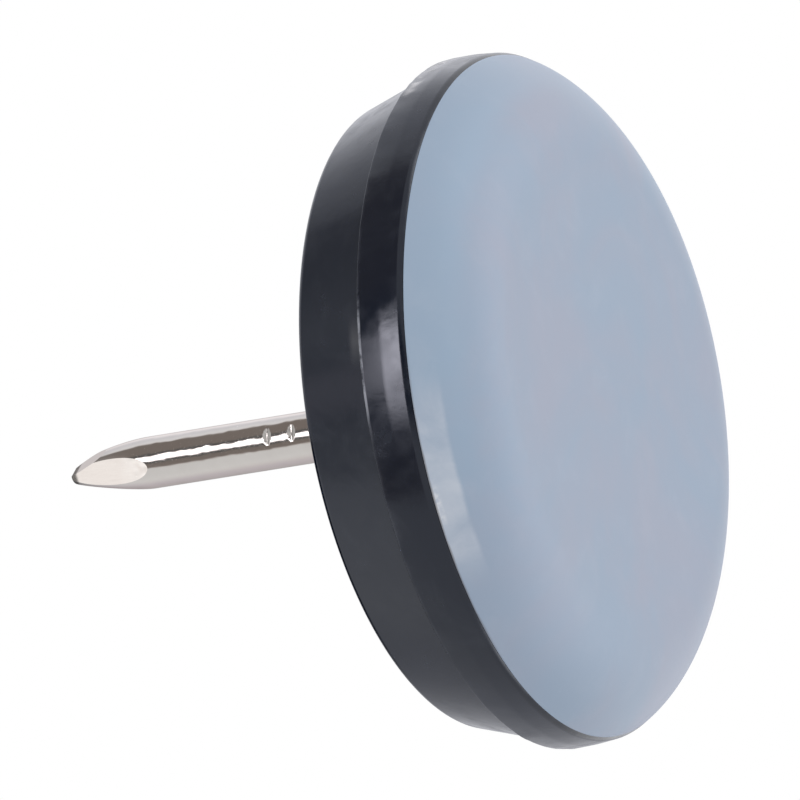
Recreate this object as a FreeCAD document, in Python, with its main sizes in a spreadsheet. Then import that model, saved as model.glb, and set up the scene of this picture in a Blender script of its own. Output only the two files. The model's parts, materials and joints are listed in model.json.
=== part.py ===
"""Nail-on furniture glide: a slippery pad in a moulded cup, with a wire nail through the middle.

The sliding face lies at z = 0, the common axis is Z and the nail points up.
Lengths are millimetres and angles are degrees.
"""
import FreeCAD, Part
import enum
import math
import os
import Sketcher

Vector = FreeCAD.Vector

# Driving sizes, one cell each
SIZES = [
    ("pad_diameter", 24.56, "glide pad where it lies on the cup's rim, its widest"),
    ("pad_height", 2.26, "pad in front of the cup's rim"),
    ("pad_flare", 1.2, "how far the pad widens from its face to the rim, before its edge is rounded"),
    ("pad_round", 4.2, "rounding from the sliding face to the pad's flaring side"),
    ("spigot_step", 0.5, "how far the pad's foot in the cup is set in from its widest"),
    ("pad_seat", 1.0, "depth of the pad's foot in the cup"),
    ("pad_fit", 0.03, "gap round the pad's foot in the cup"),
    ("rim_land", 0.07, "flat of the rim that shows round the pad"),
    ("lip_radius", 0.15, "rounded outer edge of the rim"),
    ("rim_wall", 1.59, "straight outer wall between that edge and the seam"),
    ("seam_step", 0.28, "how far the back tier is set in at the seam"),
    ("base_height", 3.0, "back tier, from the seam to the back face"),
    ("base_taper", 0.94, "how far the back tier narrows towards the back"),
    ("back_round", 0.45, "rounded edge of the back face"),
    ("head_diameter", 4.6, "nail head"),
    ("head_thickness", 0.8, "nail head"),
    ("head_fit", 0.1, "gap round the nail head in its seat"),
    ("neck_diameter", 2.7, "nail right under its head, from where it tapers to the wire"),
    ("shank_diameter", 1.9, "nail wire, from the back face to the point"),
    ("neck_fit", 0.01, "gap round the neck in the cup"),
    ("nail_reach", 14.8, "nail tip beyond the back face"),
    ("broad_length", 3.4, "two opposite broad flats of the four-sided point"),
    ("narrow_length", 2.7, "the two narrower flats between them"),
    ("tip_width", 0.46, "blunt end of the point, across its flats"),
    ("flat_count", 2, "flats in an opposite pair"),
    ("grip_reach", 6.63, "outermost grip mark beyond the back face"),
    ("grip_pitch", 0.98, "step from one grip mark to the next"),
    ("grip_depth", 0.09, "how deep the grip marks bite into the wire"),
    ("grip_radius", 0.16, "hollow of a grip mark"),
    ("grip_count", 5, "grip marks along the wire"),
    ("grip_turn", 15, "turn of the grip marks from the flats of the point"),
    ("cut_margin", 0.5, "how far the cutting outlines stand off the wire"),
]

# Radii and levels that follow from the driving sizes
PLACES = [
    ("pad_radius", "Sizes.pad_diameter / 2"),
    ("flare_radius", "pad_radius - Sizes.pad_flare"),
    ("spigot_radius", "pad_radius - Sizes.spigot_step"),
    ("recess_radius", "spigot_radius + Sizes.pad_fit"),
    ("rim_radius", "pad_radius + Sizes.rim_land + Sizes.lip_radius"),
    ("root_radius", "rim_radius - Sizes.seam_step"),
    ("back_radius", "root_radius - Sizes.base_taper"),
    ("head_radius", "Sizes.head_diameter / 2"),
    ("head_seat_radius", "head_radius + Sizes.head_fit"),
    ("neck_radius", "Sizes.neck_diameter / 2"),
    ("neck_hole_radius", "neck_radius + Sizes.neck_fit"),
    ("shank_radius", "Sizes.shank_diameter / 2"),
    ("shank_hole_radius", "shank_radius + Sizes.neck_fit"),
    ("tip_half", "Sizes.tip_width / 2"),
    ("cut_radius", "shank_radius + Sizes.cut_margin"),
    ("cut_width", "2 * cut_radius"),
    ("grip_centre", "shank_radius + Sizes.grip_radius - Sizes.grip_depth"),
    ("rim_level", "Sizes.pad_height"),
    ("floor_level", "rim_level + Sizes.pad_seat"),
    ("seam_level", "rim_level + Sizes.lip_radius + Sizes.rim_wall"),
    ("back_level", "seam_level + Sizes.base_height"),
    ("head_seat_level", "floor_level + Sizes.head_thickness"),
    ("tip_level", "back_level + Sizes.nail_reach"),
    ("broad_level", "tip_level - Sizes.broad_length"),
    ("narrow_level", "tip_level - Sizes.narrow_length"),
    ("cut_level", "tip_level + Sizes.cut_margin"),
    ("grip_level", "back_level + Sizes.grip_reach"),
]

FULL_TURN = 360
SAME_LENGTH = 1e-6

# How a sketch numbers its two axes, the first of which starts at its origin, and a curve's points
ACROSS_AXIS, ALONG_AXIS = -1, -2
Spot = enum.IntEnum("Spot", "START END CENTRE")

doc = FreeCAD.newDocument("nail_on_glide")


def fill_sheet(name, rows):
    """Make a sheet with one named cell for each row, and its note beside it."""
    sheet = doc.addObject("Spreadsheet::Sheet", name)
    for number, (alias, content, *note) in enumerate(rows, start=1):
        sheet.set(f"A{number}", " ".join([alias.replace("_", " "), *note]))
        sheet.set(f"B{number}", str(content))
        sheet.setAlias(f"B{number}", alias)
    doc.recompute()
    return sheet


sizes = fill_sheet("Sizes", SIZES)
places = fill_sheet("Places", [(alias, f"={formula}") for alias, formula in PLACES])


def new_body(label):
    """Start a sub-part at the origin of the shared frame."""
    body = doc.addObject("PartDesign::Body", label)
    body.Label = label
    body.Placement = FreeCAD.Placement()
    return body


def new_sketch(body, name, plane):
    """Attach an empty sketch to one of the body's own origin planes."""
    sketch = body.newObject("Sketcher::SketchObject", name)
    support = next(item for item in body.Origin.OriginFeatures if item.Role == plane)
    sketch.AttachmentSupport = [(support, "")]
    sketch.MapMode = "FlatFace"
    return sketch


def tie_point(sketch, geometry, point, across, along):
    """Hold a sketch point at two named places, where None means on that axis."""
    ties = (("DistanceX", across, ALONG_AXIS), ("DistanceY", along, ACROSS_AXIS))
    for kind, place, axis in ties:
        if place is None:
            sketch.addConstraint(Sketcher.Constraint("PointOnObject", geometry, point, axis))
            continue
        held = Sketcher.Constraint(kind, ACROSS_AXIS, Spot.START, geometry, point, places.get(place))
        sketch.setExpression(f"Constraints[{sketch.addConstraint(held)}]", f"Places.{place}")


def outline(body, name, plane, corners):
    """Draw a closed outline of straight sides through the named corners."""
    sketch = new_sketch(body, name, plane)
    spots = [Vector(*(places.get(place) if place else 0 for place in corner), 0) for corner in corners]
    for start, end in zip(spots, spots[1:] + spots[:1]):
        sketch.addGeometry(Part.LineSegment(start, end))
    for side, corner in enumerate(corners):
        following = (side + 1) % len(corners)
        sketch.addConstraint(Sketcher.Constraint("Coincident", side, Spot.END, following, Spot.START))
        tie_point(sketch, side, Spot.START, *corner)
    return sketch


def turn(body, name, corners):
    """Turn an outline in the XZ plane about the common axis."""
    sketch = outline(body, f"{name}_outline", "XZ_Plane", corners)
    turned = body.newObject("PartDesign::Revolution", name)
    turned.Profile = sketch
    turned.ReferenceAxis = (sketch, ["V_Axis"])
    turned.Angle = FULL_TURN
    doc.recompute()
    return turned


def round_ring(body, name, base, radius, level, size):
    """Round the circular edge that lies at a named radius and level."""
    ring_radius = places.get(radius)
    ring_level = places.get(level) if level else 0
    rings = [
        f"Edge{number}"
        for number, edge in enumerate(base.Shape.Edges, start=1)
        if isinstance(edge.Curve, Part.Circle)
        and math.isclose(edge.Curve.Radius, ring_radius, abs_tol=SAME_LENGTH)
        and math.isclose(edge.Curve.Center.z, ring_level, abs_tol=SAME_LENGTH)
    ]
    rounded = body.newObject("PartDesign::Fillet", name)
    rounded.Base = (base, rings)
    rounded.setExpression("Radius", f"Sizes.{size}")
    doc.recompute()
    return rounded


def cut_through(body, name, sketch):
    """Cut a sketch through the wire, equally to both sides of its plane."""
    cut = body.newObject("PartDesign::Pocket", name)
    cut.Profile = sketch
    cut.SideType = "Symmetric"
    cut.setExpression("Length", "Places.cut_width")
    doc.recompute()
    return cut


def make_pad():
    """The pale pad: a thick disc on the rim, with a large rounded edge and a foot in the cup."""
    body = new_body("glide_pad")
    disc = turn(body, "pad_disc", [
        (None, None),
        ("flare_radius", None),
        ("pad_radius", "rim_level"),
        ("spigot_radius", "rim_level"),
        ("spigot_radius", "floor_level"),
        (None, "floor_level"),
    ])
    round_ring(body, "pad_edge", disc, "flare_radius", None, "pad_round")
    return body


def make_cup():
    """The dark cup: a recess for the pad, a seat and a hole for the nail, two tiers outside."""
    body = new_body("base_cup")
    moulding = turn(body, "cup_wall", [
        ("neck_hole_radius", "head_seat_level"),
        ("head_seat_radius", "head_seat_level"),
        ("head_seat_radius", "floor_level"),
        ("recess_radius", "floor_level"),
        ("recess_radius", "rim_level"),
        ("rim_radius", "rim_level"),
        ("rim_radius", "seam_level"),
        ("root_radius", "seam_level"),
        ("back_radius", "back_level"),
        ("shank_hole_radius", "back_level"),
    ])
    shoulder = round_ring(body, "rim_shoulder", moulding, "rim_radius", "rim_level", "lip_radius")
    round_ring(body, "back_edge", shoulder, "back_radius", "back_level", "back_round")
    return body


def cut_flats(body, name, plane, foot_level):
    """Two opposite flats that narrow the wire from a named level to its blunt tip."""
    beside = outline(body, f"{name}_outline", plane, [
        ("shank_radius", foot_level),
        ("tip_half", "tip_level"),
        ("tip_half", "cut_level"),
        ("cut_radius", "cut_level"),
        ("cut_radius", foot_level),
    ])
    flat = cut_through(body, f"{name}_flat", beside)
    flats = body.newObject("PartDesign::PolarPattern", f"{name}_flats")
    flats.Originals = [flat]
    flats.Axis = (beside, ["V_Axis"])
    flats.Angle = FULL_TURN
    flats.setExpression("Occurrences", "Sizes.flat_count")
    body.Tip = flats
    doc.recompute()


def cut_grips(body):
    """Pairs of shallow hollows across the wire, where the nail was gripped as it was headed."""
    hollow = new_sketch(body, "grip_outline", "YZ_Plane")
    across_wire = FreeCAD.Rotation(Vector(0, 1, 0), sizes.get("grip_turn"))
    hollow.AttachmentOffset = FreeCAD.Placement(Vector(), across_wire)
    hollow.setExpression("AttachmentOffset.Rotation.Angle", "Sizes.grip_turn")
    for number, side in enumerate((1, -1)):
        spot = Vector(side * places.get("grip_centre"), places.get("grip_level"), 0)
        hollow.addGeometry(Part.Circle(spot, Vector(0, 0, 1), sizes.get("grip_radius")))
        size = Sketcher.Constraint("Radius", number, sizes.get("grip_radius"))
        hollow.setExpression(f"Constraints[{hollow.addConstraint(size)}]", "Sizes.grip_radius")
    tie_point(hollow, 0, Spot.CENTRE, "grip_centre", "grip_level")
    mirrored = Sketcher.Constraint("Symmetric", 0, Spot.CENTRE, 1, Spot.CENTRE, ALONG_AXIS)
    hollow.addConstraint(mirrored)
    pair = cut_through(body, "grip_pair", hollow)
    grips = body.newObject("PartDesign::LinearPattern", "grip_pairs")
    grips.Originals = [pair]
    grips.Direction = (hollow, ["V_Axis"])
    grips.Reversed = True
    grips.Mode = "Spacing"
    grips.setExpression("Offset", "Sizes.grip_pitch")
    grips.setExpression("Occurrences", "Sizes.grip_count")
    body.Tip = grips
    doc.recompute()


def make_nail():
    """The plated nail: a flat head and tapered neck in the cup, and a wire that stands out of its back."""
    body = new_body("nail")
    turn(body, "nail_wire", [
        (None, "floor_level"),
        ("head_radius", "floor_level"),
        ("head_radius", "head_seat_level"),
        ("neck_radius", "head_seat_level"),
        ("shank_radius", "back_level"),
        ("shank_radius", "tip_level"),
        (None, "tip_level"),
    ])
    cut_flats(body, "broad", "YZ_Plane", "broad_level")
    cut_flats(body, "narrow", "XZ_Plane", "narrow_level")
    cut_grips(body)
    return body


def check_model(bodies):
    """Stop unless every object is sound and every cut took something away."""
    for item in doc.Objects:
        if {"Invalid", "Error"} & set(item.State):
            raise RuntimeError(f"{item.Name} failed: {item.State}")
    for body in bodies:
        if body.Shape.isNull() or not body.Shape.isValid() or len(body.Shape.Solids) != 1:
            raise RuntimeError(f"{body.Label} is not one sound solid")
        solids = [item for item in body.Group if hasattr(item, "Shape") and item.Shape.Solids]
        for before, after in zip(solids, solids[1:]):
            if after.Shape.Volume >= before.Shape.Volume:
                raise RuntimeError(f"{after.Name} took nothing away")


bodies = [make_pad(), make_cup(), make_nail()]
doc.recompute()
check_model(bodies)
os.makedirs("parts", exist_ok=True)
for body in bodies:
    body.Shape.exportStep(f"parts/{body.Label}.step")
    print(f"{body.Label}: {body.Shape.Volume:.2f} mm3, box {body.Shape.BoundBox}")
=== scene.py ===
# %% [markdown]
# # A nail-on furniture glide
# A glide like this is tapped into the end of a chair leg, so that the chair slides over the floor.
# It has three pieces: a pale PTFE pad that does the sliding, a black moulded cup that holds the
# pad, and a plated wire nail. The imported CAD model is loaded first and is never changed. It gives
# every place and size, and each piece made here stands over one of its nodes.

# %% Load the frame
import json
import math

import bmesh
import bpy
from mathutils import Matrix, Vector, noise


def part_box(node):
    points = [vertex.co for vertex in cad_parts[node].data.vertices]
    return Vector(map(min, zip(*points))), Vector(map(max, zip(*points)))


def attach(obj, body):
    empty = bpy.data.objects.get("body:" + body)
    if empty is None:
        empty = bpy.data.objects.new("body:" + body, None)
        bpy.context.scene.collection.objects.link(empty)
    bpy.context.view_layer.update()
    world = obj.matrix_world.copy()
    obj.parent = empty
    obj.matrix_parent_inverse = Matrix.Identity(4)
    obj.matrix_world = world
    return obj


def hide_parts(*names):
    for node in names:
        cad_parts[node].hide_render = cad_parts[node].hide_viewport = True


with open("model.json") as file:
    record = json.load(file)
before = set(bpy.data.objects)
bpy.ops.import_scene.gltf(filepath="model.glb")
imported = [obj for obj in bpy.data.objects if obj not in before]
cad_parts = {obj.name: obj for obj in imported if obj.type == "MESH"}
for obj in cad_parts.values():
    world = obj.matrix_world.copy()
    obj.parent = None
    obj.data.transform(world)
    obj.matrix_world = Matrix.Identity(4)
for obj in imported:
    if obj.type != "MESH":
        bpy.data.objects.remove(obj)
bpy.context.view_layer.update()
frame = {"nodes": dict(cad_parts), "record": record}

scene = bpy.context.scene
print("nodes in the frame:", sorted(frame["nodes"]))

# %% [markdown]
# ## Sizes
# Blender works in metres, and the part is 25 mm wide, so a named millimetre keeps the numbers
# readable. The outer sizes are read from the frame's boxes, so they follow the CAD model. Only
# the few inner sizes that a box can't show are written down here.

# %% Read the sizes
MM = 0.001
pad_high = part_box("glide_pad")[1]
cup_low, cup_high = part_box("base_cup")
nail_low, nail_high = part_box("nail")
pad_radius, pad_back = pad_high.x, pad_high.z
cup_radius, rim_level, back_level = cup_high.x, cup_low.z, cup_high.z
head_radius, head_level, tip_level = nail_high.x, nail_low.z, nail_high.z
shank_mount = next(m for m in frame["record"]["mounts"] if m["name"] == "nail_shank")
shank_radius = shank_mount["dims"]["r_mm"] * MM
ring_height = 1.74 * MM
seam_level = rim_level + ring_height
print("cup width mm", round(2 * cup_radius / MM, 2), "reach mm", round(tip_level / MM, 2))

# %% [markdown]
# ## A lathe
# Pad, cup and nail are all round about Z. In the editor one would draw half of the section, round
# its corners with a vertex bevel and use Spin. The helper does the same three steps with bmesh
# operators. A full spin leaves a seam and a bundle of points on the axis, so doubles are merged,
# and then the normals are turned outwards.

# %% Lathe helper
TURN_STEPS = 256


def lathe(section, rounds, closed=False, steps=TURN_STEPS):
    """Spin a section of (radius, level) corners; rounds gives (corner, offset, segments)."""
    bm = bmesh.new()
    corners = [bm.verts.new((radius, 0, level)) for radius, level in section]
    for start, end in zip(corners, corners[1:] + corners[:1] * closed):
        bm.edges.new((start, end))
    for corner, offset, segments in rounds:
        bmesh.ops.bevel(bm, geom=[corners[corner]], affect="VERTICES", offset=offset,
                        segments=segments, profile=0.5, material=-1)
    bmesh.ops.spin(bm, geom=bm.verts[:] + bm.edges[:], cent=(0, 0, 0), axis=(0, 0, 1),
                   angle=math.tau, steps=steps, use_merge=True)
    bmesh.ops.remove_doubles(bm, verts=bm.verts[:], dist=0.001 * MM)
    bmesh.ops.recalc_face_normals(bm, faces=bm.faces[:])
    print("turned", len(bm.verts), "points and", len(bm.faces), "faces")
    return bm


# %% [markdown]
# ## From bmesh to a piece of the part
# Each finished bmesh becomes an object at the origin. Smooth shading rounds the lathe's facets,
# edges above a given angle stay sharp, and the Weighted Normal modifier keeps large flat faces
# flat where they run into a rounding.

# %% Piece helper
def finish_piece(bm, name, node, material, sharp_angle):
    """Turn a bmesh into an object that stands for one CAD node."""
    mesh = bpy.data.meshes.new(name)
    bm.to_mesh(mesh)
    bm.free()
    mesh.shade_smooth()
    mesh.set_sharp_from_angle(angle=math.radians(sharp_angle))
    mesh.materials.append(material)
    piece = bpy.data.objects.new(name, mesh)
    scene.collection.objects.link(piece)
    even = piece.modifiers.new("even_shading", "WEIGHTED_NORMAL")
    even.keep_sharp = True
    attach(piece, "root")
    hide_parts(node)
    print(name, "stands for", node, "with", len(mesh.polygons), "faces")


# %% [markdown]
# ## Shader sums in plain Python
# A node tree that adds and multiplies is hard to read when every Math node is wired by hand. This
# small class wraps a node's output, so that `1 - mask` or `cloud * 0.3` makes the Math nodes by
# itself. Every other node comes from `node`, which sets the node's own settings first and then
# fills its sockets with numbers, colours or other wires.

# %% Wires and trees
class Wire:
    """One output of a node; sums of wires and numbers add Math nodes."""

    def __init__(self, tree, socket):
        self.tree = tree
        self.socket = socket

    def __add__(self, other):
        return self.tree.math("ADD", self, other)

    def __sub__(self, other):
        return self.tree.math("SUBTRACT", self, other)

    def __rsub__(self, other):
        return self.tree.math("SUBTRACT", other, self)

    def __mul__(self, other):
        return self.tree.math("MULTIPLY", self, other)

    __radd__ = __add__
    __rmul__ = __mul__


class Tree:
    """A node tree of a material or the world."""

    def __init__(self, owner):
        owner.use_nodes = True
        self.owner = owner
        self.nodes = owner.node_tree.nodes
        self.links = owner.node_tree.links
        self.nodes.clear()

    def node(self, kind, settings, sockets, output=0):
        """Add one node: its settings first, then its sockets; returns one output as a wire."""
        made = self.nodes.new(kind)
        for key, value in settings.items():
            setattr(made, key, value)
        for key, value in sockets.items():
            if isinstance(value, Wire):
                self.links.new(value.socket, made.inputs[key])
            else:
                made.inputs[key].default_value = value
        return Wire(self, made.outputs[output]) if made.outputs else None

    def math(self, operation, *values):
        return self.node("ShaderNodeMath", {"operation": operation}, dict(enumerate(values)))

    def place(self, scale=(1, 1, 1)):
        """Object coordinates in metres, stretched per axis."""
        spot = self.node("ShaderNodeTexCoord", {}, {}, "Object")
        return self.node("ShaderNodeMapping", {}, {"Vector": spot, "Scale": scale})

    def parts(self, vector):
        """The three parts of a vector as wires."""
        split = self.node("ShaderNodeSeparateXYZ", {}, {"Vector": vector})
        return [Wire(self, socket) for socket in split.socket.node.outputs]

    def cloud(self, vector, size, detail=3.0, rough=0.5, bend=0.0):
        """Noise from 0 to 1 whose patches are about this size in metres."""
        return self.node("ShaderNodeTexNoise", {}, {
            "Vector": vector, "Scale": 1 / size, "Detail": detail, "Roughness": rough,
            "Distortion": bend})

    def rise(self, value, low, high):
        """0 below low, 1 above high and a soft step between them; low may be above high."""
        return self.node("ShaderNodeMapRange", {"interpolation_type": "SMOOTHSTEP"}, {
            "Value": value, "From Min": low, "From Max": high})

    def window(self, value, low, high, soft):
        """1 between low and high, with soft ends."""
        return self.rise(value, low - soft, low + soft) * self.rise(value, high + soft, high - soft)

    def blend(self, under, over, share):
        """Mix two colours."""
        return self.node("ShaderNodeMix", {"data_type": "RGBA"}, {0: share, 6: under, 7: over}, 2)

    def bump(self, height, strength, distance):
        return self.node("ShaderNodeBump", {}, {
            "Height": height, "Strength": strength, "Distance": distance})

    def surface(self, sockets, ior=1.5):
        """A Principled surface that goes to the output."""
        shader = self.node("ShaderNodeBsdfPrincipled", {}, {"IOR": ior, **sockets})
        self.node("ShaderNodeOutputMaterial", {}, {"Surface": shader})
        print(self.owner.name, "has", len(self.nodes), "nodes")
        return self.owner


# %% [markdown]
# ## The PTFE finish
# PTFE is a soft, waxy plastic. This one is pale blue-grey, a little cloudy, with a fine grain from
# the skiving knife and a satin gloss. One flat colour would look like paint, so three scales of
# noise are layered: clouds of a few millimetres shift the hue, smaller ones shift the lightness,
# and a fine grain feeds the bump. On the side towards the camera the rounded edge is painted a
# little bluer as painted shade, since there it mirrors less white than the face, and a pale band on
# it is a painted highlight. There is some burr, and a dark brown thread runs along the crease where
# it meets the cup.

# %% PTFE
def make_ptfe():
    tree = Tree(bpy.data.materials.new("pale_ptfe"))
    spot = tree.place()
    x, y, z = tree.parts(spot)
    hue = tree.rise(tree.cloud(spot, 7 * MM, 4, 0.6, 0.8), 0.3, 0.7)
    light = tree.cloud(spot, 2.2 * MM, 5, 0.62, 0.4)
    grain = tree.cloud(spot, 0.18 * MM, 3, 0.6)
    cool, warm, pale = (0.300, 0.385, 0.500, 1), (0.340, 0.380, 0.480, 1), (0.52, 0.57, 0.65, 1)
    painted_shade_blue, burr_white, crease_brown = (0.318, 0.425, 0.55, 1), (0.72, 0.74, 0.78, 1), (0.09, 0.08, 0.08, 1)
    colour = tree.blend(cool, warm, hue)
    turn = tree.math("ARCTAN2", x, 0 - y)
    edge = z + light * (0.12 * MM)
    reach = tree.math("SQRT", x * x + y * y)
    # painted shade: the near side of the rounded edge is tinted bluer
    near = tree.rise(reach, pad_radius - 1.9 * MM, pad_radius - 0.9 * MM)
    near = near * tree.window(turn, -0.2, 1.6, 0.4)
    colour = tree.blend(colour, painted_shade_blue, near * 0.7)
    # painted highlight: a pale band on the near side of the rounded edge
    painted_highlight_band = tree.rise(edge, rim_level - 0.86 * MM, rim_level - 0.7 * MM)
    painted_highlight_band = painted_highlight_band * tree.window(turn, -0.44, 0.06, 0.1)
    colour = tree.blend(colour, pale, painted_highlight_band * tree.rise(light, 0.1, 0.8))
    burr = tree.rise(edge, rim_level - 0.2 * MM, rim_level - 0.08 * MM)
    burr = burr * tree.window(turn, -0.3, -0.2, 0.03) * tree.rise(grain, 0.3, 0.65)
    colour = tree.blend(colour, burr_white, burr * 0.7)
    # a dark brown thread along the crease where the pad meets the cup
    crease_thread = tree.rise(edge, rim_level - 0.02 * MM, rim_level + 0.05 * MM)
    crease_thread = crease_thread * tree.window(turn, -0.7, 0.1, 0.2)
    colour = tree.blend(colour, crease_brown, crease_thread * 0.7)
    colour = tree.blend(colour, pale, tree.rise(light, 0.45, 0.9) * 0.16)
    rough = 0.36 + light * 0.1 + grain * 0.06
    height = grain * 0.5 + light * 0.7
    return tree.surface({
        "Base Color": colour, "Roughness": rough, "Specular Tint": (1.0, 0.76, 0.72, 1),
        "Normal": tree.bump(height, 0.12, 0.05 * MM)}, ior=1.38)


ptfe = make_ptfe()

# %% [markdown]
# ## The pad
# The pad is a thick disc with a flat sliding face and a large rounded edge. It lies on the cup's
# rim, and a slightly smaller foot goes into the recess. A cylinder with a bevelled rim would do,
# but a turned section gives full control: one wide bevel of a corner makes the whole rounded edge.

# %% Pad
pad_flare, pad_roll, pad_lap = 1.2 * MM, 2.5 * MM, 0.05 * MM
crease_round, foot_round, foot_inset = 0.03 * MM, 0.12 * MM, 0.5 * MM
foot_radius = pad_radius - foot_inset
pad_section = [(0, 0), (pad_radius - pad_flare, 0), (pad_radius + pad_lap, rim_level),
               (foot_radius, rim_level), (foot_radius, pad_back), (0, pad_back)]
pad_mesh = lathe(pad_section, [(1, pad_roll, 32), (2, crease_round, 2), (4, foot_round, 3)])
finish_piece(pad_mesh, "ptfe_pad", "glide_pad", ptfe, 40)

# %% [markdown]
# ## The black plastic finish
# The cup is moulded in a hard black plastic with a half gloss. In the light one sees smears from
# handling, a very fine moulded grain and a paler, ragged thread of flash along the parting seam.
# The smears are a bent noise in colour, roughness and bump. The flash is a noise cut by a narrow
# band in level. On one stretch of the turn it is made much brighter: that part is a painted
# highlight on the seam's edge, over the real flash. A thumb mark and some flecks of dust lie beside
# the seam.

# %% Black plastic
def make_black_plastic():
    tree = Tree(bpy.data.materials.new("black_plastic"))
    spot = tree.place()
    x, y, z = tree.parts(spot)
    smear = tree.cloud(spot, 3.5 * MM, 5, 0.65, 1.2)
    ripple = tree.cloud(spot, 1.3 * MM, 3, 0.6, 0.6)
    grain = tree.cloud(spot, 0.12 * MM, 2, 0.5)
    deep, dusty = (0.0055, 0.0080, 0.0160, 1), (0.014, 0.0175, 0.027, 1)
    flash_and_highlight_grey, dust_grey = (0.36, 0.37, 0.42, 1), (0.72, 0.70, 0.71, 1)
    colour = tree.blend(deep, dusty, tree.rise(smear, 0.45, 0.8))
    turn = tree.math("ARCTAN2", x, 0 - y)
    seam = tree.window(z, seam_level - 0.11 * MM, seam_level + 0.02 * MM, 0.02 * MM)
    ragged = tree.rise(tree.cloud(spot, 0.9 * MM, 4, 0.7), 0.3, 0.62)
    # painted highlight: the seam's flash is made much brighter on one stretch of the turn
    bright = 0.03 + tree.window(turn, 0.04, 0.34, 0.09) * 0.9
    colour = tree.blend(colour, flash_and_highlight_grey, seam * ragged * bright)
    thumb = tree.window(z, seam_level, seam_level + 0.5 * MM, 0.15 * MM)
    thumb = thumb * tree.window(turn, 0.22, 0.3, 0.05)
    dust = tree.window(z, seam_level - 0.5 * MM, seam_level - 0.16 * MM, 0.14 * MM)
    flecks = tree.rise(tree.cloud(spot, 0.9 * MM, 2, 0.5, 0.4), 0.38, 0.64)
    dust = dust * tree.window(turn, 1.17, 1.5, 0.1) * flecks
    smudge = thumb * 0.09 + dust
    patch = tree.rise(tree.cloud(spot, 0.8 * MM, 1, 0.5, 0.6), 0.3, 0.75)
    colour = tree.blend(colour, dust_grey, smudge * 0.8)
    rough = 0.1 + tree.rise(smear, 0.35, 0.75) * 0.1 + patch * 0.1 + grain * 0.03 + smudge * 0.2
    height = grain * 0.15 + smear * 0.5 + ripple
    return tree.surface({
        "Base Color": colour, "Roughness": rough, "Specular Tint": (0.86, 0.90, 1.0, 1),
        "Normal": tree.bump(height, 0.13, 0.06 * MM)}, ior=1.56)


black_plastic = make_black_plastic()

# %% [markdown]
# ## The cup
# The cup is one moulding with two tiers: a front ring with a small lip under the pad's edge, and
# a back tier that narrows towards the furniture leg, with a sharp step at the parting seam. Its
# section is a closed loop, because the recess for the pad and the hole for the nail are part of
# it. The corner roundings are vertex bevels before the spin. The edge at the seam is a little
# ragged, so its points are moved in and out by noise of a few hundredths of a millimetre.

# %% Cup
cup_root, cup_back = 12.22 * MM, 11.28 * MM
ring_bend, lip_bend, ring_draw = 0.88 * MM, 1.6 * MM, 0.075 * MM
back_round, seam_round, bend_round = 0.34 * MM, 0.06 * MM, 0.08 * MM
lip_round, rim_round, hole_round = 0.08 * MM, 0.03 * MM, 0.06 * MM
rim_gap, foot_gap, head_gap, hole_gap = 0.02 * MM, 0.03 * MM, 0.1 * MM, 0.01 * MM
head_height, neck_radius = 0.8 * MM, 1.36 * MM
rim_radius, recess_radius = pad_radius + rim_gap, foot_radius + foot_gap
seat_radius, seat_level = head_radius + head_gap, head_level + head_height
hole_radius = shank_radius + hole_gap
cup_section = [
    (hole_radius, back_level), (cup_back, back_level), (cup_root, seam_level),
    (cup_radius, seam_level), (cup_radius, seam_level - ring_bend),
    (cup_radius - ring_draw, seam_level - lip_bend), (rim_radius, rim_level),
    (recess_radius, rim_level), (recess_radius, pad_back),
    (seat_radius, pad_back), (seat_radius, seat_level), (neck_radius, seat_level)]
cup_mesh = lathe(cup_section, [(1, back_round, 8), (3, seam_round, 4), (4, bend_round, 6),
                               (5, lip_round, 6), (6, rim_round, 3), (0, hole_round, 3)],
                 closed=True)

# %% Fray the seam
seam_fray, seam_reach = 0.022 * MM, 0.1 * MM
long_tooth, short_tooth = 0.7 * MM, 0.25 * MM
for point in cup_mesh.verts:
    near_seam = abs(point.co.z - seam_level) < seam_reach
    if near_seam and point.co.xy.length > cup_radius - seam_reach:
        jagged = noise.noise(point.co / long_tooth) + noise.noise(point.co / short_tooth)
        point.co.xy *= 1 + max(-0.3, jagged) * seam_fray / cup_radius
finish_piece(cup_mesh, "moulded_cup", "base_cup", black_plastic, 40)

# %% [markdown]
# ## The plated steel finish
# The nail is steel wire with a bright nickel plating. A mirror shows what is around it, so the
# colour is nearly even. The detail is in fine lines along the wire from drawing it, in slight
# waves that fade out before the flats of the point, in a brown band along one side that is a
# painted reflection, and in a dull, dark end where the plating is thin on the sheared tip.

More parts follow.
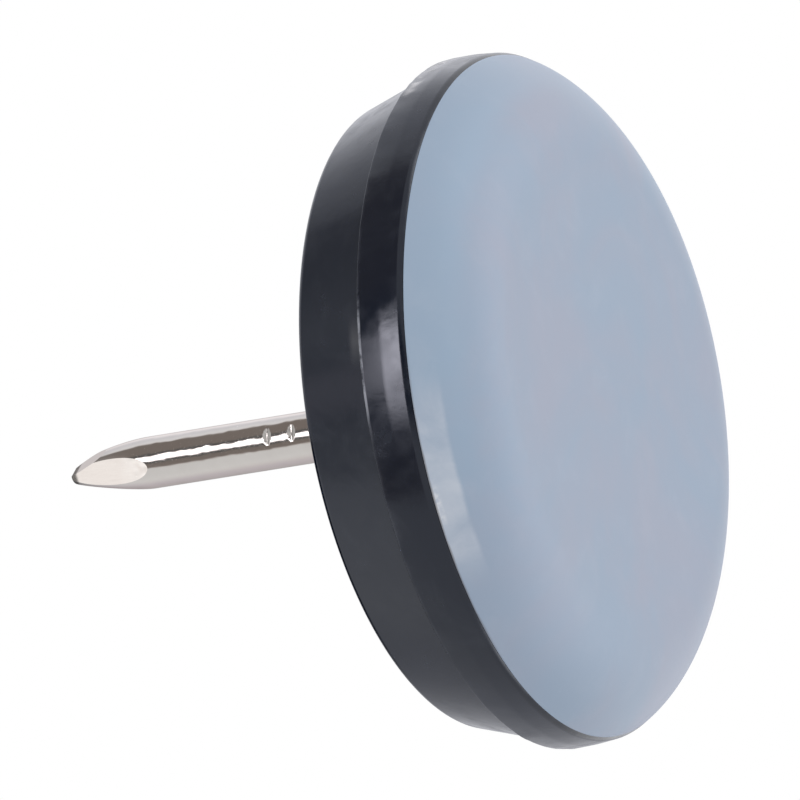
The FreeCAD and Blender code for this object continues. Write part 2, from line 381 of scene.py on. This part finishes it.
# %% Plated steel
def make_plated_steel():
    tree = Tree(bpy.data.materials.new("plated_steel"))
    spot = tree.place()
    lines = tree.cloud(tree.place((1, 1, 0.04)), 0.12 * MM, 3, 0.6)
    blotch = tree.cloud(spot, 0.8 * MM, 4, 0.6)
    x, y, z = tree.parts(spot)
    turn = tree.math("ARCTAN2", x, 0 - y)
    plain_wire = tree.rise(z, tip_level - 2.2 * MM, tip_level - 3.4 * MM)
    wave = tree.cloud(spot, 0.6 * MM, 1, 0.4) * plain_wire
    bare = tree.rise(z + blotch * (0.2 * MM), tip_level - 0.22 * MM, tip_level - 0.05 * MM)
    grey, bright = (0.76, 0.72, 0.69, 1), (0.84, 0.81, 0.78, 1)
    brown, dark = (0.66, 0.58, 0.56, 1), (0.20, 0.19, 0.18, 1)
    colour = tree.blend(grey, bright, blotch)
    # painted reflection: a darker brown band along one side of the wire
    painted_reflection_band = tree.window(turn, -1.2, -0.7, 0.2)
    colour = tree.blend(colour, brown, painted_reflection_band * 0.8)
    colour = tree.blend(colour, dark, bare)
    rough = 0.05 + lines * 0.05 + blotch * 0.04 + bare * 0.25
    return tree.surface({
        "Base Color": colour, "Metallic": 1.0, "Roughness": rough,
        "Specular Tint": (0.62, 0.58, 0.55, 1),
        "Normal": tree.bump(lines * 0.03 + wave, 0.5, 0.05 * MM)})


plated_steel = make_plated_steel()

# %% [markdown]
# ## The nail
# The nail is turned with its head and neck, which sit in the cup under the pad, and with an end
# that one wide bevel of a corner rounds off. The grip marks are pressed in by moving the points of
# a few close rings. The point is then made as in the factory: four flats are pinched off, here
# with bisect_plane and a new face over each cut. Two are broad and face each other, one is short
# and steep and leans towards the broad one in front, and one is plain.

# %% Turn the nail
neck_under_head = 1.35 * MM
head_round, end_round = 0.15 * MM, 0.05 * MM
tip_radius, point_bend = 0.33 * MM, 1.6 * MM
grip_count, grip_reach, grip_pitch = 5, 6.48 * MM, 0.98 * MM
grip_depth, grip_half, grip_steps = 0.06 * MM, 0.2 * MM, 6
grip_levels = [back_level + grip_reach - number * grip_pitch for number in range(grip_count)]
grip_rings = sorted(level + step / grip_steps * grip_half
                    for level in grip_levels for step in range(-grip_steps, grip_steps + 1))
nail_section = [(0, head_level), (head_radius, head_level), (head_radius, seat_level),
                (neck_under_head, seat_level), (shank_radius, back_level)]
nail_section += [(shank_radius, level) for level in grip_rings]
nail_section += [(shank_radius, tip_level - point_bend), (tip_radius, tip_level), (0, tip_level)]
nail_mesh = lathe(nail_section, [(1, head_round, 4), (2, head_round, 4), (-3, point_bend, 24),
                                 (-2, end_round, 3)], steps=128)

# %% Press the grip marks
grip_turn = math.radians(18)
grip_side = Vector((math.sin(grip_turn), -math.cos(grip_turn), 0))
pressed = 0
for point in nail_mesh.verts:
    for level in grip_levels:
        offset = abs(point.co.z - level)
        if offset < grip_half and point.co.xy.length > 0.9 * shank_radius:
            depth = grip_depth * (1 + math.cos(math.pi * offset / grip_half)) / 2
            reach = point.co.dot(grip_side)
            extra = abs(reach) - (shank_radius - depth)
            if extra > 0:
                point.co -= grip_side * math.copysign(extra, reach)
                pressed += 1
print("moved", pressed, "points into", len(grip_levels), "pairs of grip marks")

# %% Pinch the point
broad_half, short_half = 0.32 * MM, 0.1 * MM
broad_length, short_length, plain_length = 3.4 * MM, 2.0 * MM, 3.2 * MM
point_turn = math.radians(-9)
flats = [(-90, broad_half, broad_length), (90, broad_half, broad_length),
         (-20, short_half, short_length), (180, broad_half, plain_length)]
for bearing, tip_half, length in flats:
    around = math.radians(bearing) + point_turn
    side = Vector((math.cos(around), math.sin(around), 0))
    slope = math.atan2(shank_radius - tip_half, length)
    cut = bmesh.ops.bisect_plane(
        nail_mesh, geom=nail_mesh.verts[:] + nail_mesh.edges[:] + nail_mesh.faces[:],
        plane_co=side * shank_radius + Vector((0, 0, tip_level - length)),
        plane_no=side * math.cos(slope) + Vector((0, 0, math.sin(slope))), clear_outer=True)
    rim = [part for part in cut["geom_cut"] if isinstance(part, bmesh.types.BMEdge)]
    bmesh.ops.contextual_create(nail_mesh, geom=rim)
bmesh.ops.recalc_face_normals(nail_mesh, faces=nail_mesh.faces[:])
print("the point has", len(flats), "flats")

# %% [markdown]
# A nail seldom stands quite square. This one leans by a little less than a degree, so the points
# outside the cup are shifted sideways in step with their height.

# %% Lean the nail
nail_lean = math.tan(math.radians(0.8))
for point in nail_mesh.verts:
    point.co.x += nail_lean * max(0, point.co.z - back_level)
finish_piece(nail_mesh, "plated_nail", "nail", plated_steel, 8)

# %% [markdown]
# ## The floor
# The glide rests with its pad on a pale floor. The photograph looks at the pad from below the
# floor's level, so the floor shows only its upper side: seen from below it is clear. It fades out
# at its edge into the white background and doesn't block any light.

# %% Floor
floor_radius, fade_start, fade_end = 110 * MM, 45 * MM, 100 * MM
floor_level = -0.02 * MM


def make_floor_finish():
    tree = Tree(bpy.data.materials.new("pale_floor"))
    x, y = tree.parts(tree.place())[:2]
    reach = tree.math("SQRT", x * x + y * y)
    under = tree.node("ShaderNodeNewGeometry", {}, {}, "Backfacing")
    shown = tree.rise(reach, fade_end, fade_start) * (1 - under)
    clear = tree.node("ShaderNodeBsdfTransparent", {}, {})
    pale = tree.node("ShaderNodeBsdfDiffuse", {}, {"Color": (0.9, 0.9, 0.9, 1)})
    mixed = tree.node("ShaderNodeMixShader", {}, {0: shown, 1: clear, 2: pale})
    tree.node("ShaderNodeOutputMaterial", {}, {"Surface": mixed})
    return tree.owner


floor_mesh = bmesh.new()
bmesh.ops.create_circle(floor_mesh, cap_ends=True, segments=96, radius=floor_radius,
                        matrix=Matrix.Translation((0, 0, floor_level)))
floor_data = bpy.data.meshes.new("floor")
floor_mesh.to_mesh(floor_data)
floor_mesh.free()
floor_data.materials.append(make_floor_finish())
floor = bpy.data.objects.new("floor", floor_data)
scene.collection.objects.link(floor)
floor.visible_diffuse = floor.visible_glossy = floor.visible_shadow = False

# %% [markdown]
# ## The studio
# Black plastic and bright metal are drawn by what they mirror. The world is white to the eye, and
# for reflections it is a studio: pale walls all round, a dark card in front of the part, and a
# strip light beside the camera. Each is a pattern in the turn round Z and the height above the
# floor, both in degrees. First come the walls, which are uneven as in a real room: lighter far
# below, behind and in one tall pane, and darker overhead.

# %% Walls
def make_walls(tree, turn, height, high, y):
    """How bright the walls are, from all round the part."""
    low = tree.rise(height, -28, -44) * tree.rise(y, 0, 0.2) * 2.8
    lift = tree.rise(turn, 40, -40) * 0.23 - tree.rise(turn, -80, -132) * 0.73
    shade = tree.rise(height, 26, 38)
    below = 0.67 + tree.rise(turn, -30, -140) * (1 - high) * 0.11 + high * (lift - 0.05) + low
    below = below + tree.window(turn, -165, -138, 12) * tree.rise(height, 15, 0) * 0.75
    below = below - tree.rise(turn, -110, -140) * shade * 0.16
    pane = tree.window(turn, 133, 162, 17) * (0.65 - shade * 0.3)
    above = 0.82 + pane - high * 0.45 + low
    side = tree.rise(turn - high * 17, 85, 96)
    behind = tree.rise(y, 0.8, 0.95) * tree.window(height, -10, 12, 8)
    return below * (1 - side) + above * side + behind * 0.3


# %% [markdown]
# The strip light is the bright line on the nail and the highlight on the ring. It is broader and
# brighter low down, where the front of the ring mirrors it, and it fades towards one side.

# %% Strip light
def make_strip(tree, turn, height):
    """Where the strip light is, and how bright."""
    broad = tree.rise(height, 24, 17)
    strip = tree.rise(turn + broad * 8, 7, 13) * tree.rise(turn - broad * 2.5, 33, 27)
    glow = 0.7 + tree.rise(height, 50, 26) * 1.7 + broad * 4.6
    glow = glow - tree.rise(height, 6, -8) * 7
    glow = glow + tree.window(turn, 17, 26, 5) * tree.window(height, 4, 18, 5) * 1.6
    return strip, glow * (0.5 + tree.rise(turn, 2, 20) * 0.5)


# %% [markdown]
# The world puts walls, card and strip together. The card is warm, a little darker beside the
# strip, and paler high up and below, and a soft sheen lies above it. The Light Path flags keep all
# this to reflections: the camera sees plain white, and soft light comes evenly from all round.

# %% World
def make_studio():
    scene.world = bpy.data.worlds.new("studio")
    scene.world.cycles.sampling_method = "NONE"
    tree = Tree(scene.world)
    x, y, z = tree.parts(tree.node("ShaderNodeTexCoord", {}, {}, "Generated"))
    turn = tree.math("DEGREES", tree.math("ARCTAN2", x, 0 - y))
    height = tree.math("DEGREES", tree.math("ARCSINE", z))
    high = tree.rise(height, 34, 56)
    around = make_walls(tree, turn, height, high, y)
    strip, glow = make_strip(tree, turn, height)
    front = tree.rise(turn, -28, -18) * tree.rise(turn - high * 14, 96, 86)
    gap = tree.window(turn, -1, 42, 5)
    card = 0.2 - gap * 0.1 + high * (0.32 - tree.rise(turn, 45, 85) * 0.25)
    pale = tree.rise(height, 12, -4)
    card = card + pale * 0.42
    sheen = tree.window(height, 38, 53, 4) * tree.window(turn, -55, 12, 8) * 0.55
    seen = around * (1 - front) + card * front * (1 - strip) + glow * strip + sheen
    path = tree.node("ShaderNodeLightPath", {}, {}).socket.node.outputs
    eye, mirror = Wire(tree, path["Is Camera Ray"]), Wire(tree, path["Is Glossy Ray"])
    through = Wire(tree, path["Is Transmission Ray"])
    soft = 1 - eye - mirror - through
    strength = eye + through + mirror * seen + soft * 0.85
    warm = mirror * front * (1 - strip) * (1 - high) * (1 - pale) * (1 - gap * 0.8)
    white, brown = (1, 1, 1, 1), (1, 0.87, 0.80, 1)
    pink, blue = (1, 0.95, 0.975, 1), (0.93, 0.94, 1, 1)
    tint = tree.blend(white, brown, warm)
    tint = tree.blend(tint, pink, mirror * strip)
    flank = tree.rise(tree.math("ABSOLUTE", turn), 80, 120) * tree.rise(height, 0, 10)
    tint = tree.blend(tint, blue, mirror * flank)
    shader = tree.node("ShaderNodeBackground", {}, {"Color": tint, "Strength": strength})
    tree.node("ShaderNodeOutputWorld", {}, {"Surface": shader})
    print("the studio has", len(tree.nodes), "nodes")


make_studio()
scene.view_settings.view_transform = "Standard"

# %% [markdown]
# Two large lamps add a little direction to the soft light. They show in no reflection.

# %% Lamps
def soft_lamp(name, spot, size, level):
    """A square lamp that looks at the part and adds this level to a white surface facing it."""
    data = bpy.data.lights.new(name, "AREA")
    data.shape = "SQUARE"
    data.size = size
    data.energy = level * math.pi**2 * spot.length_squared
    lamp = bpy.data.objects.new(name, data)
    lamp.location = spot
    lamp.rotation_euler = (-spot).to_track_quat("-Z", "Y").to_euler()
    lamp.visible_camera = lamp.visible_glossy = False
    scene.collection.objects.link(lamp)
    print(name, "gives", round(data.energy, 3), "watts")


top_spot, overhead_spot = Vector((0.16, -0.06, -0.14)), Vector((0.08, 0.05, 0.28))
soft_lamp("top_light", top_spot, size=0.2, level=0.14)
soft_lamp("overhead_light", overhead_spot, size=0.15, level=0.25)

# %% [markdown]
# ## The camera
# A long lens far away keeps the ellipses of the rim even, as in the photograph. The camera stands
# on the -Y side, below the pad's level, and is rolled a little, so that the nail points left and
# slightly down.

# %% Camera
tilt, roll = math.radians(65.03), math.radians(10.05)
ahead = Vector((0, math.sin(tilt), math.cos(tilt)))
level_right, level_up = Vector((0, math.cos(tilt), -math.sin(tilt))), Vector((1, 0, 0))
right = math.cos(roll) * level_right - math.sin(roll) * level_up
up = math.sin(roll) * level_right + math.cos(roll) * level_up
camera = bpy.data.objects.new("camera", bpy.data.cameras.new("camera"))
camera.data.lens, camera.data.sensor_width = 540, 36
camera.data.clip_start, camera.data.clip_end = 0.01, 20
camera.matrix_world = Matrix((right, up, -ahead)).transposed().to_4x4()
shift_left, shift_up, distance = 4.108 * MM, 0.11 * MM, 428.5 * MM
camera.location = (Vector((0, 0, seam_level)) - right * shift_left + up * shift_up
                   - ahead * distance)
scene.collection.objects.link(camera)
scene.camera = camera
